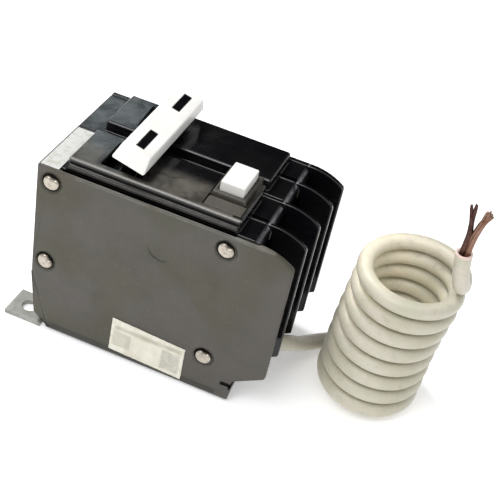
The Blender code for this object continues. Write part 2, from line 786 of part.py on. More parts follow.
def arc_chute(name, pole):
    """Fibre cheeks with steel-like plates that split the arc, open toward the contacts."""
    middle = pole_middle(pole)
    x = (9.6, 21.0)
    floor = box(name, x, (middle - 9.2, middle + 9.2), (12.0, 13.0), FIBRE)
    pieces = []
    for side in (-1, 1):
        y = sorted((middle + side * 8.3, middle + side * 9.1))
        pieces.append(box(f"{name}_cheek_{side}", (9.7, 20.9), y, (12.4, 33.4)))
    for level in range(6):
        z = 15.6 + 3.0 * level
        for side in (-1, 1):
            y = sorted((middle + side * 4.4, middle + side * 8.7))
            pieces.append(box(f"{name}_fin_{side}_{level}", (9.9, 20.7), y, (z, z + 1.0)))
    return join(floor, *pieces)


def trip_bar():
    """The bar that lets both poles go together, with a finger for each pole and a fork for the plunger."""
    x, z = TRIP_BAR_AXIS
    bar = cylinder("trip_bar", (x, 2.8, z), (x, BODY_WIDTH - 2.8, z), 1.3, BLACK_PLASTIC, segments=16)
    fingers = []
    for pole in (0, 1):
        middle = pole_middle(pole)
        outline = [(x - 0.8, z), (x + 0.8, z), (x + 1.4, 32.5), (x + 0.4, 32.5)]
        fingers.append(plate(f"trip_finger_{pole}", outline, (middle - 2.0, middle + 2.0)))
    for side in (-1, 1):
        y = sorted((SOLENOID_Y + side * 1.6, SOLENOID_Y + side * 3.2))
        fingers.append(box(f"trip_fork_{side}", (x - 0.9, x + 0.3), y, (7.6, z)))
    join(bar, *fingers)
    set_origin(bar, (x, BODY_WIDTH / 2, z))


def ground_fault_module():
    """The circuit board in the near pole's floor, with its sensor core, solenoid and protection."""
    box("circuit_board", (27.5, 58.4), (3.2, 23.4), (3.6, 5.2), BOARD_GREEN)
    top = 5.2 + GAP
    core = bpy.data.curves.new("sensor_core", "CURVE")
    core.dimensions = "3D"
    core.bevel_depth = 1.7 * MM
    core.bevel_resolution = 3
    ring = core.splines.new("POLY")
    spots = circle((0, 0), 5.0, 28)
    ring.points.add(len(spots) - 1)
    for spot, (x, y) in zip(ring.points, spots):
        spot.co = (x * MM, y * MM, 0, 1)
    ring.use_cyclic_u = True
    torus = add_object("sensor_core", curve_to_mesh(core, "sensor_core"), CORE_BLUE)
    torus.location = Vector((52.0, 10.2, top + 1.7)) * MM
    shade_round(torus)
    case = cylinder(
        "solenoid", (28.4, SOLENOID_Y, SOLENOID_Z), (40.2, SOLENOID_Y, SOLENOID_Z), 4.0, COPPER
    )
    bore = cylinder(
        "solenoid_bore", (27, SOLENOID_Y, SOLENOID_Z), (42, SOLENOID_Y, SOLENOID_Z), 1.4
    )
    cut(case, bore)
    rod = cylinder(
        "plunger", (32.4, SOLENOID_Y, SOLENOID_Z), (51.0, SOLENOID_Y, SOLENOID_Z), 1.0, STEEL
    )
    head = cylinder(
        "plunger_head", (50.4, SOLENOID_Y, SOLENOID_Z), (51.5, SOLENOID_Y, SOLENOID_Z), 2.2
    )
    join(rod, head)
    cylinder("capacitor", (31.6, 7.2, top), (31.6, 7.2, 14.4), 3.1, CAN_ALUMINIUM)
    cylinder("surge_absorber", (38.0, 7.4, top + 4.2), (40.8, 7.4, top + 4.2), 4.1, DISC_ORANGE)


def test_contact():
    """The spring leaf that the test button's stem bends down."""
    middle = BUTTON_CENTRE[1]
    y = (middle - 1.0, middle + 1.0)
    leaf = box("test_contact", (55.4, 55.9), y, (5.5, 52.6), SILVER)
    foot = box("test_contact_foot", (55.5, 57.6), y, (5.5, 6.1))
    arm = box("test_contact_arm", (52.6, 55.8), (y[0], y[1]), (52.1, 52.6))
    join(leaf, foot, arm)


def test_button():
    """The square button in its raised housing, with its stem and return spring."""
    x, y = BUTTON_CENTRE
    half_x = BUTTON_SIZE[0] / 2
    half_y = BUTTON_SIZE[1] / 2
    housing = box("test_button_housing", HOUSING_X, HOUSING_Y, (59.8, PLATFORM_Z - 0.1), OLIVE_PLASTIC)
    collar = box("housing_collar", COLLAR_X, COLLAR_Y, (60.2, COLLAR_TOP_Z))
    soften(collar, 0.35)
    moat_y = (COLLAR_Y[0] - MOAT_WIDTH, COLLAR_Y[0])
    moat = box("housing_moat", (HOUSING_X[0] - 1, HOUSING_X[1] + 1), moat_y, (61.0, 65.0))
    side_moat = box("housing_side_moat", (COLLAR_X[1], HOUSING_X[1] + 1), (COLLAR_Y[0] - 0.5, 29), (61.0, 65.0))
    opening = box(
        "housing_opening", (x - half_x - GAP, x + half_x + GAP), (y - half_y - GAP, y + half_y + GAP), (58, 66)
    )
    join(housing, collar)
    cut(housing, moat, side_moat, opening)
    z = (BUTTON_BOTTOM_Z, BUTTON_TOP_Z)
    cap = box("test_button", (x - half_x, x + half_x), (y - half_y, y + half_y), z, WHITE_PLASTIC)
    soften(cap, 0.4, 2)
    hollow = box(
        "button_hollow", (x - half_x + 1, x + half_x - 1), (y - half_y + 1, y + half_y - 1), (60, BUTTON_TOP_Z - 1.4)
    )
    stem = cylinder("button_stem", (x, y, 54.2), (x, y, BUTTON_TOP_Z - 0.8), 1.2, segments=16)
    cut(cap, hollow)
    join(cap, stem)
    coil = helix((x, y, CASE_SHELF_Z + 0.6), (x, y, BUTTON_TOP_Z - 1.9), 2.0, 3, 10)
    tube("test_button_spring", coil, 0.25, STEEL, resolution=1)


# Pigtail


def bezier(start, start_pull, end_pull, end, steps):
    points = []
    for step in range(steps + 1):
        t = step / steps
        u = 1 - t
        point = (
            Vector(start) * u**3
            + Vector(start_pull) * 3 * u * u * t
            + Vector(end_pull) * 3 * u * t * t
            + Vector(end) * t**3
        )
        points.append(point)
    return points


def coil_point(turn):
    """A point on the pigtail's coil, which winds clockwise and up from the far side, rounder at its top."""
    angle = math.radians(90.0) - 2 * math.pi * turn
    height = PIGTAIL_RADIUS + 0.05 + COIL_PITCH * turn
    share = min(max((turn - 3.0) / 5.0, 0.0), 1.0)
    share = share * share * (3 - 2 * share)
    radius_x = COIL_RADII[0] + (COIL_TOP_RADII[0] - COIL_RADII[0]) * share
    radius_y = COIL_RADII[1] + (COIL_TOP_RADII[1] - COIL_RADII[1]) * share
    x = COIL_CENTRE[0] + COIL_LEAN * height + COIL_TOP_SHIFT * share + radius_x * math.cos(angle)
    y = COIL_CENTRE[1] + radius_y * math.sin(angle)
    return Vector((x, y, height))


def pigtail():
    """The neutral lead: out of the case, down to the floor, round its coil and up to its bare end."""
    y, z = PIGTAIL_EXIT
    floor_z = PIGTAIL_RADIUS + 0.05
    lead = [(64.8, y, z), (70.0, y, z), (75.6, y, z)]
    bend = bezier((76.2, y, z), (79.4, y, z), (79.6, 21.2, 13.3), (81.0, 24.0, 11.6), 5)
    turns = [coil_point(step / COIL_STEPS) for step in range(round(COIL_TURNS * COIL_STEPS) + 1)]
    foot = turns[0]
    down_end = Vector((foot.x - 5.0, foot.y, floor_z))
    down = bezier((82.4, 26.6, 10.0), (86.2, 36.0, 4.6), down_end - Vector((10.0, 0.4, 0)), down_end, 9)
    top = turns[-1]
    forward = (turns[-1] - turns[-2]).normalized()
    rise_end = Vector(TAIL_END)
    rise = bezier(top, top + forward * 5.0, rise_end - Vector((-0.4, -0.3, 7.0)), rise_end, 8)
    tube("pigtail_wire", lead + bend + down + turns + rise[1:], PIGTAIL_RADIUS - 0.05, WIRE_CREAM)
    base = rise_end + Vector((0, 0, GAP))
    tube(
        "pigtail_strands_1",
        [base + Vector(step) for step in ((-0.8, 0, 0), (-0.6, 0, 6.2), (-1.2, 0, 11.4), (-2.4, 0, 17.6))],
        0.75,
        COPPER,
    )
    tube(
        "pigtail_strands_2",
        [base + Vector(step) for step in ((0.9, 0, 0), (1.2, 0, 6.2), (2.0, 0, 11.2), (3.3, 0, 15.6))],
        0.9,
        COPPER,
    )


def labels():
    """A paper label low on the near cover and a blank sticker on the line-end shelf."""
    outline = [(30.1, 3.0), (54.8, 2.0), (54.6, 14.2), (30.0, 15.6)]
    plate("side_label", outline, (-0.2, -0.05), LABEL_PAPER)
    box("line_end_sticker", (0.4, 6.6), (0.5, 24.2), (59.58, 59.75), LABEL_PAPER)


def mechanism():
    for pole, letter in enumerate("ab"):
        mechanism_frame(f"mechanism_frame_{letter}", pole)
        contact_arm(f"contact_arm_{letter}", pole)
        moving_contact(f"moving_contact_{letter}", pole)
        fixed_contact(f"fixed_contact_{letter}", pole)
        line_terminal(f"line_terminal_{letter}", pole)
        cradle(f"cradle_{letter}", pole)
        toggle_spring(f"toggle_spring_{letter}", pole)
        magnet_yoke(f"magnet_yoke_{letter}", pole)
        armature(f"armature_{letter}", pole)
        bimetal(f"bimetal_{letter}", pole)
        arc_chute(f"arc_chute_{letter}", pole)


def main():
    side_covers()
    centre_partition()
    cases()
    rivets()
    handles()
    mechanism()
    terminals()
    trip_bar()
    ground_fault_module()
    test_contact()
    test_button()
    pigtail()
    labels()


main()
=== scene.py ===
"""Looks of the two-pole ground-fault breaker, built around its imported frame.

Lengths are millimetres in the frame of the case's lower line-end corner until at() turns them into metres.
"""

import json
import math
import random

import bmesh
import bpy
from mathutils import Matrix, Vector, noise

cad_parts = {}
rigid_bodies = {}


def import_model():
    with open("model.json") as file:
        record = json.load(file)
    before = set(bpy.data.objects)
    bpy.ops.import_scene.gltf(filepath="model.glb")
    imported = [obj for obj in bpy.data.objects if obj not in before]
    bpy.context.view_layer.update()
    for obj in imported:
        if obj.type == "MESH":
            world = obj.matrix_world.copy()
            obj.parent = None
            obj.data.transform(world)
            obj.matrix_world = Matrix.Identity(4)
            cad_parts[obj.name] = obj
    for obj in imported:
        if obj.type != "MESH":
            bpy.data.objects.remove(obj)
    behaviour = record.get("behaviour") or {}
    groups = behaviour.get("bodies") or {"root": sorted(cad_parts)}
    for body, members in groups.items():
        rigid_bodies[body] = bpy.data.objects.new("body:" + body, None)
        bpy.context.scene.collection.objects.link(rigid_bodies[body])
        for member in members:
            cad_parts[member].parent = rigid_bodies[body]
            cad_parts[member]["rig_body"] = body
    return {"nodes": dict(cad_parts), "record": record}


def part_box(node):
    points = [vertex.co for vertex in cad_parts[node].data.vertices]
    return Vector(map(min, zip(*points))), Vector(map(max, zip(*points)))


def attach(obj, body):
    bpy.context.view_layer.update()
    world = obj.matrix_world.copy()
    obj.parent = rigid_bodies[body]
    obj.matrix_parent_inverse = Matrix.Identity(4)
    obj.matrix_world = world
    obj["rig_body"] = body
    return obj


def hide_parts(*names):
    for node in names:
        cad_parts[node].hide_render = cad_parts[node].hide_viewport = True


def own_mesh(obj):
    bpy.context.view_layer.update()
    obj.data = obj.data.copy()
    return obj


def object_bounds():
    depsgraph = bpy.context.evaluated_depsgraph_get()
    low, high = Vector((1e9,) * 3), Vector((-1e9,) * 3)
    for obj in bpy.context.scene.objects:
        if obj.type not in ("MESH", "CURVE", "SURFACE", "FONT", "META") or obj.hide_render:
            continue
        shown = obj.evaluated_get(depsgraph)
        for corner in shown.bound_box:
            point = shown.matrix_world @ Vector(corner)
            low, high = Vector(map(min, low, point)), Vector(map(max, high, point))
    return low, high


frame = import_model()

CAD_BOX = [list(corner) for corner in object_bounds()]
MM = 0.001
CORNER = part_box("near_side_cover")[0]

CASE_MIDDLE_Y = 25.4
PLATFORM_X = (8.0, 62.0)
FOOT_SLOT_X = (67.1, 70.3)
FOOT_SLOT_Z = (6.0, 7.3)
GATE_RADIUS = 4.5
HANDLE_AXIS = (22.6, CASE_MIDDLE_Y, 52.7)
HANDLE_LEAN = 13.25
POLE_MIDDLES = {"a": -12.7, "b": 12.7}
SHANK_RADIUS = 1.38
RIVET_NOTCHES = {"rivet_1": 78.0, "rivet_2": 42.0, "rivet_3": 68.0, "rivet_4": 82.0}
COIL_CENTRE = (106.0, 31.7)
RANGE_SOCKETS = ("From Min", "From Max", "To Min", "To Max")


def at(x, y, z):
    """A place given in millimetres from the case corner, in the frame's metres."""
    return CORNER + Vector((x, y, z)) * MM


def around(count):
    """Evenly spaced angles round a circle."""
    return [math.tau * spot / count for spot in range(count)]


def span(node):
    """The lowest and highest corner of a CAD node in millimetres from the case corner."""
    low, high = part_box(node)
    return (low - CORNER) / MM, (high - CORNER) / MM


# ---------------------------------------------------------------- materials


def map_range(tree, value, numbers, interpolation="SMOOTHSTEP"):
    """value moved from one range to another; the numbers are the ends of both."""
    node = tree.nodes.new("ShaderNodeMapRange")
    node.interpolation_type = interpolation
    for socket, number in zip(RANGE_SOCKETS, numbers):
        node.inputs[socket].default_value = number
    tree.links.new(value, node.inputs["Value"])
    return node.outputs["Result"]


class Nodes:
    """A material's node tree with short calls for the nodes that the surfaces here use."""

    def __init__(self, name):
        self.material = bpy.data.materials.new(name)
        self.material.use_nodes = True
        self.tree = self.material.node_tree
        self.shader = self.tree.nodes["Principled BSDF"]
        self.place = self.add("ShaderNodeTexCoord").outputs["Object"]

    def add(self, kind, **settings):
        node = self.tree.nodes.new(kind)
        for key, value in settings.items():
            setattr(node, key, value)
        return node

    def link(self, source, socket):
        """Feeds a socket from another node's output or from a plain number."""
        if isinstance(source, (int, float)):
            socket.default_value = source
        else:
            self.tree.links.new(source, socket)

    def stretched(self, scale):
        """Object coordinates scaled by a factor on each axis."""
        mapping = self.add("ShaderNodeMapping")
        mapping.inputs["Scale"].default_value = scale
        self.link(self.place, mapping.inputs["Vector"])
        return mapping.outputs["Vector"]

    def noise(self, size_mm, detail=3.0, roughness=0.55, place=None, distortion=0.0):
        """Noise whose grains are about size_mm wide."""
        node = self.add("ShaderNodeTexNoise")
        node.inputs["Scale"].default_value = 1.0 / (size_mm * MM)
        node.inputs["Detail"].default_value = detail
        node.inputs["Roughness"].default_value = roughness
        node.inputs["Distortion"].default_value = distortion
        self.link(place or self.place, node.inputs["Vector"])
        return node.outputs["Fac"]

    def ramp(self, value, low, high, out_low=0.0, out_high=1.0):
        """out_low up to low, out_high from high on, and a smooth step between."""
        return map_range(self.tree, value, (low, high, out_low, out_high))

    def math(self, operation, first, second=0.0):
        """One step of arithmetic on outputs or plain numbers."""
        node = self.add("ShaderNodeMath", operation=operation)
        self.link(first, node.inputs[0])
        self.link(second, node.inputs[1])
        return node.outputs[0]

    def times(self, *factors):
        """The product of two or more values."""
        product = factors[0]
        for factor in factors[1:]:
            product = self.math("MULTIPLY", product, factor)
        return product

    def without(self, value, mask, share):
        """A value lowered by a share where the mask is 1."""
        return self.times(value, self.math("SUBTRACT", 1.0, self.times(mask, share)))

    def mix(self, share, first, second):
        """first where share is 0, second where it is 1."""
        node = self.add("ShaderNodeMix", data_type="RGBA")
        self.link(share, node.inputs["Factor"])
        for socket, colour in ((node.inputs[6], first), (node.inputs[7], second)):
            if isinstance(colour, tuple):
                socket.default_value = (*colour, 1.0)
            else:
                self.link(colour, socket)
        return node.outputs[2]

    def edges(self, radius_mm):
        """1 near convex and concave edges, 0 on the flats."""
        bevel = self.add("ShaderNodeBevel", samples=6)
        bevel.inputs["Radius"].default_value = radius_mm * MM
        geometry = self.add("ShaderNodeNewGeometry")
        dot = self.add("ShaderNodeVectorMath", operation="DOT_PRODUCT")
        self.link(bevel.outputs["Normal"], dot.inputs[0])
        self.link(geometry.outputs["Normal"], dot.inputs[1])
        return self.ramp(self.math("SUBTRACT", 1.0, dot.outputs["Value"]), 0.02, 0.25)

    def band(self, axis, low, high, soft=0.3):
        """1 between two places along an axis, in millimetres from the case corner, fading over soft."""
        split = self.add("ShaderNodeSeparateXYZ")
        self.link(self.place, split.inputs[0])
        along = split.outputs[axis]
        start = CORNER["XYZ".index(axis)]
        rising = self.ramp(along, start + (low - soft) * MM, start + (low + soft) * MM)
        falling = self.ramp(along, start + (high - soft) * MM, start + (high + soft) * MM, 1.0, 0.0)
        return self.times(rising, falling)

    def patch(self, x, z, soft=0.3):
        """1 inside a rectangle of the side faces."""
        return self.times(self.band("X", *x, soft), self.band("Z", *z, soft))

    def ring(self, x, z, radius, width):
        """1 on a circle drawn on the side faces."""
        node = self.add("ShaderNodeVectorMath", operation="DISTANCE")
        self.link(self.stretched((1.0, 0.0, 1.0)), node.inputs[0])
        centre = at(x, 0.0, z)
        node.inputs[1].default_value = (centre.x, 0.0, centre.z)
        away = self.math("ABSOLUTE", self.math("SUBTRACT", node.outputs["Value"], radius * MM))
        return self.ramp(away, 0.0, width * MM, 1.0, 0.0)

    def near_coil_axis(self, low_mm, high_mm):
        """1 on the inner side of the coiled wire, 0 on its outer side."""
        split = self.add("ShaderNodeSeparateXYZ")
        self.link(self.place, split.inputs[0])
        across = self.math("SUBTRACT", split.outputs["X"], CORNER.x + COIL_CENTRE[0] * MM)
        along = self.math("SUBTRACT", split.outputs["Y"], CORNER.y + COIL_CENTRE[1] * MM)
        squares = self.math("ADD", self.times(across, across), self.times(along, along))
        far = self.math("SQRT", squares)
        return self.ramp(far, low_mm * MM, high_mm * MM, 1.0, 0.0)

    def facing_up(self, low=0.4, high=0.7):
        """1 on faces whose normal rises past high, 0 below low."""
        geometry = self.add("ShaderNodeNewGeometry")
        split = self.add("ShaderNodeSeparateXYZ")
        self.link(geometry.outputs["Normal"], split.inputs[0])
        return self.ramp(split.outputs["Z"], low, high)

    def bump(self, height, distance_mm, strength=1.0, under=None):
        """A normal tilted by a height, on top of another bump if one is given."""
        node = self.add("ShaderNodeBump")
        node.inputs["Distance"].default_value = distance_mm * MM
        node.inputs["Strength"].default_value = strength
        self.link(height, node.inputs["Height"])
        if under is not None:
            self.link(under, node.inputs["Normal"])
        return node.outputs["Normal"]

    def finish(self, colour, roughness, normal=None, metallic=0.0, **sockets):
        """The finished material. Other sockets of its shader are set by name."""
        inputs = self.shader.inputs
        self.link(colour, inputs["Base Color"])
        self.link(roughness, inputs["Roughness"])
        inputs["Metallic"].default_value = metallic
        if normal is not None:
            self.link(normal, inputs["Normal"])
        for name, value in sockets.items():
            inputs[name.replace("_", " ")].default_value = value
        return self.material


def moulded_plastic(name, dark, light, roughness, bump_mm=0.02, speck=None):
    """A moulded part: cloudy colour, fine texture and uneven gloss."""
    n = Nodes(name)
    blotch_mm = 14.0
    grain_mm = 0.5
    cloud = n.noise(blotch_mm, 4.0, 0.6)
    colour = n.mix(n.ramp(cloud, 0.3, 0.7), dark, light)
    if speck is not None:
        fleck = n.ramp(n.noise(grain_mm * 1.7, 2.0), 0.62, 0.72)
        colour = n.mix(n.times(fleck, 0.35), colour, speck)
    grain = n.noise(grain_mm, 2.0)
    haze = n.ramp(n.noise(blotch_mm * 0.7, 3.0, distortion=0.6), 0.25, 0.75, -0.12, 0.12)
    gloss = n.math("ADD", n.math("ADD", haze, roughness), n.ramp(grain, 0.3, 0.7, -0.04, 0.04))
    wave = n.bump(n.noise(9.0, 2.0), 0.25, 0.25)
    return n.finish(colour, gloss, n.bump(grain, bump_mm, 0.6, wave))


def metal(name, dark, light, roughness, brushed=(1.0, 1.0, 1.0), tarnish=None, metallic=1.0):
    """A plated or bare metal: brushing, mottled tarnish and small dents."""
    n = Nodes(name)
    lines = n.noise(0.35, 2.0, place=n.stretched(brushed))
    colour = n.mix(n.ramp(n.noise(3.0, 4.0), 0.3, 0.7), dark, light)
    if tarnish is not None:
        stain = n.ramp(n.noise(4.0, 5.0, 0.65, distortion=0.8), 0.5, 0.75, 0.0, 0.55)
        colour = n.mix(stain, colour, tarnish)
    gloss = n.ramp(lines, 0.25, 0.75, roughness - 0.08, roughness + 0.1)
    dents = n.bump(n.noise(1.6, 2.0), 0.04, 0.5)
    return n.finish(colour, gloss, n.bump(lines, 0.01, 0.5, dents), metallic=metallic)


def olive_side():
    """Olive-grey phenolic of the side covers: cloudy green and plum patches, faint lines, rubbed edges
    lightened partly as painted highlight, a painted highlight along the top edge, painted shade along the
    foot and in the foot slot, and painted shadows under the gate mark and above the label.
    """
    n = Nodes("olive_phenolic")
    patches = n.ramp(n.noise(24.0, 3.0, 0.5), 0.42, 0.6)
    colour = n.mix(patches, (0.054, 0.05, 0.031), (0.064, 0.057, 0.048))
    shade = (0.045, 0.042, 0.03)
    colour = n.mix(n.times(n.ramp(n.noise(5.0, 4.0, 0.6), 0.45, 0.75), 0.3), colour, shade)
    fleck = n.ramp(n.noise(0.8, 2.0), 0.6, 0.74)
    colour = n.mix(n.times(fleck, 0.18), colour, (0.17, 0.16, 0.13))
    upright = n.times(n.patch((46.8, 47.8), (38.0, 53.0), 0.8), 0.3)
    level = n.times(n.patch((11.0, 29.0), (21.0, 21.8), 0.8), 0.3)
    # The dark irregular line above the label is a painted shadow of the label's upper edge.
    shadow_above_label = n.times(n.patch((32.0, 55.5), (14.6, 16.4), 0.5), n.ramp(n.noise(1.4, 3.0), 0.35, 0.55))
    marks_and_label_shadow = n.math("MAXIMUM", n.math("MAXIMUM", upright, level), n.times(shadow_above_label, 0.45))
    colour = n.mix(marks_and_label_shadow, colour, shade)
    # Lighter edges: partly rubbed wear, partly a painted highlight where the rounded edges catch the light.
    rub_and_highlight = n.times(n.edges(0.6), n.ramp(n.noise(6.0), 0.3, 0.7, 0.3, 0.95))
    colour = n.mix(rub_and_highlight, colour, (0.2, 0.19, 0.16))
    # Painted highlight along the cover's rounded top edge.
    uneven = n.ramp(n.noise(4.0, 3.0), 0.3, 0.6, 0.3, 0.8)
    top_edge_highlight = n.times(n.patch((9.0, 74.0), (58.7, 60.2), 0.3), uneven)
    colour = n.mix(top_edge_highlight, colour, (0.13, 0.125, 0.105))
    faded = n.ramp(n.noise(3.0, 4.0), 0.3, 0.6, 0.1, 0.6)
    stain = n.times(n.patch((3.0, 12.0), (54.5, 60.5), 1.6), faded)
    colour = n.mix(stain, colour, (0.06, 0.046, 0.028))
    # Painted shade on the downward-facing chamfer along the foot.
    foot_chamfer_shade = n.times(n.patch((6.0, 66.0), (-2.0, 3.6), 0.35), 0.7)
    colour = n.mix(foot_chamfer_shade, colour, (0.016, 0.016, 0.012))
    # Near black painted shade inside the foot slot, and a painted shadow under the lower-left rim of the
    # raised gate mark.
    slot = n.times(n.patch(FOOT_SLOT_X, FOOT_SLOT_Z, 0.12), n.band("Y", 0.2, 4.0, 0.1))
    gate_crescent_shadow = n.times(n.ring(41.4, 47.0, GATE_RADIUS, 0.75), n.band("Z", 35.0, 45.2, 1.6))
    gate_crescent_shadow = n.times(gate_crescent_shadow, n.band("X", 36.0, 43.2, 1.6))
    colour = n.mix(n.math("MAXIMUM", slot, n.times(gate_crescent_shadow, 0.9)), colour, (0.006, 0.006, 0.004))
    grain = n.noise(0.5, 2.0)
    haze = n.ramp(n.noise(10.0, 3.0, distortion=0.6), 0.25, 0.75, 0.4, 0.58)
    gloss = n.math("ADD", haze, n.ramp(grain, 0.3, 0.7, -0.04, 0.04))
    wave = n.bump(n.noise(9.0, 2.0), 0.25, 0.25)
    return n.finish(colour, gloss, n.bump(grain, 0.02, 0.6, wave))


def glossy_black():
    """Black phenolic of the pole cases: hazy gloss, a dusty painted sheen on the near platform cut by the
    tie's painted shadow, and painted highlights on the ledge, the platform's near edge, the load-end rims,
    the deck edges and the rubbed edges.
    """
    n = Nodes("black_phenolic")
    cloud = n.noise(12.0, 4.0, 0.6)
    colour = n.mix(n.ramp(cloud, 0.3, 0.7), (0.0026, 0.0024, 0.0036), (0.005, 0.0046, 0.0046))
    on_platform = n.band("X", *PLATFORM_X, 0.4)
    # Lighter near platform, partly a dusty film and partly a painted sheen that fades towards the far side;
    # kept out of the tie's painted shadow and weaker at the line end and by the button.
    dust_and_sheen = n.times(n.band("Z", 61.5, 64.0, 0.5), n.band("Y", 3.0, 14.5, 3.5), n.facing_up(), on_platform)
    dust_and_sheen = n.times(dust_and_sheen, n.ramp(n.noise(8.0, 5.0, 0.65, distortion=0.6), 0.3, 0.65, 0.3, 1.0))
    tie_shadow = n.times(n.band("X", 15.5, 33.0, 1.5), n.band("Y", 5.2, 30.0, 0.8))
    dust_and_sheen = n.without(dust_and_sheen, tie_shadow, 0.85)
    dust_and_sheen = n.without(dust_and_sheen, n.band("X", 0.0, 17.0), 0.35)
    dust_and_sheen = n.without(dust_and_sheen, n.band("X", 58.4, 66.0), 0.85)
    colour = n.mix(dust_and_sheen, colour, (0.115, 0.106, 0.09))
    # Painted highlight on the near ledge's side and top.
    ledge = n.times(n.band("Y", -0.5, 2.9, 0.1), n.band("Z", 59.9, 61.5, 0.2), on_platform)
    ledge = n.times(ledge, n.ramp(cloud, 0.3, 0.6, 0.5, 1.0))
    colour = n.mix(ledge, colour, (0.07, 0.066, 0.06))
    # Painted highlight on the rounded near edge of the platform.
    lip = n.times(n.band("Y", 2.9, 4.2, 0.15), n.band("Z", 62.3, 64.0, 0.2))
    lip = n.times(lip, n.facing_up(0.25, 0.6), on_platform)
    colour = n.mix(lip, colour, (0.15, 0.142, 0.127))
    # Painted highlight on the walls' load-end rims, where they mirror the floor.
    rim = n.times(n.band("X", 79.3, 82.0, 0.2), n.ramp(n.noise(6.0, 3.0), 0.3, 0.6, 0.3, 1.0))
    rim = n.times(rim, n.band("Y", 2.0, 48.4, 0.3), n.edges(0.45))
    colour = n.mix(rim, colour, (0.21, 0.205, 0.19))
    # Painted highlight streaks on the sloping deck edges between the walls.
    deck = n.times(n.band("X", 67.3, 68.0, 0.15), n.facing_up(0.3, 0.45))
    deck = n.times(deck, n.ramp(n.noise(3.0, 3.0), 0.3, 0.6, 0.3, 1.0))
    colour = n.mix(deck, colour, (0.14, 0.138, 0.148))
    # Lighter edges: partly rubbed wear, partly painted highlight, strongest along the platform level.
    rub_and_highlight = n.times(n.edges(0.4), n.ramp(n.noise(5.0), 0.3, 0.7, 0.2, 0.8))
    level = n.without(n.times(n.band("Z", 60.0, 70.0, 1.0), rub_and_highlight), n.band("X", 61.5, 90.0, 1.0), 0.8)
    colour = n.mix(level, colour, (0.22, 0.21, 0.2))
    colour = n.mix(n.times(rub_and_highlight, 0.25), colour, (0.09, 0.09, 0.09))
    haze = n.ramp(n.noise(7.0, 4.0, distortion=0.8), 0.25, 0.75, 0.1, 0.26)
    gloss = n.math("ADD", haze, n.ramp(n.noise(0.5, 2.0), 0.3, 0.7, -0.03, 0.03))
    wave = n.bump(n.noise(7.0, 3.0), 0.3, 0.22)
    return n.finish(colour, gloss, n.bump(n.noise(0.5, 2.0), 0.01, 0.5, wave))


def shadow_black():
    """Matt black that stands in for the shade in recesses and joints, and takes no shine."""
    n = Nodes("shadow_black")
    colour = n.mix(n.ramp(n.noise(2.0, 3.0), 0.3, 0.7), (0.001, 0.001, 0.0008), (0.004, 0.0036, 0.003))
    gloss = n.ramp(n.noise(1.0, 2.0), 0.3, 0.7, 0.6, 0.8)
    return n.finish(colour, gloss, n.bump(n.noise(0.5, 2.0), 0.02, 0.5), Specular_IOR_Level=0.1)


OLIVE = olive_side()
BLACK = glossy_black()
SHADOW_BLACK = shadow_black()
WHITE = moulded_plastic("white_nylon", (0.78, 0.765, 0.72), (0.86, 0.85, 0.82), 0.38, bump_mm=0.008)
STEEL = metal("zinc_plated_steel", (0.5, 0.5, 0.48), (0.68, 0.68, 0.65), 0.3, (1.0, 1.0, 5.0))
DARK_STEEL = metal("blued_steel", (0.12, 0.12, 0.14), (0.2, 0.2, 0.22), 0.38)
RIVET = metal("rivet_steel", (0.4, 0.36, 0.3), (0.54, 0.49, 0.42), 0.34,
              tarnish=(0.3, 0.22, 0.18), metallic=0.8)
TIP = moulded_plastic("handle_tip_phenolic", (0.014, 0.012, 0.007), (0.034, 0.029, 0.016), 0.5)
TIN = metal("tin_plate", (0.26, 0.262, 0.235), (0.35, 0.352, 0.32), 0.5, (6.0, 1.0, 1.0),
            tarnish=(0.2, 0.195, 0.165), metallic=0.45)
COPPER = metal("bare_copper", (0.2, 0.105, 0.07), (0.32, 0.2, 0.15), 0.42, (1.0, 1.0, 6.0),
               tarnish=(0.1, 0.055, 0.03))
SILVER = metal("contact_silver", (0.7, 0.7, 0.68), (0.85, 0.85, 0.82), 0.25)
FIBRE = moulded_plastic("vulcanised_fibre", (0.26, 0.15, 0.09), (0.36, 0.23, 0.14), 0.75,
                        speck=(0.45, 0.3, 0.2))
BOARD = moulded_plastic("solder_mask", (0.015, 0.09, 0.04), (0.025, 0.13, 0.06), 0.3, bump_mm=0.01)
CORE = moulded_plastic("core_tape", (0.02, 0.07, 0.2), (0.04, 0.12, 0.3), 0.45)
DISC = moulded_plastic("dipped_disc", (0.5, 0.17, 0.03), (0.62, 0.24, 0.05), 0.35)
CAN = metal("drawn_can", (0.6, 0.6, 0.62), (0.75, 0.75, 0.77), 0.28, (1.0, 1.0, 4.0))


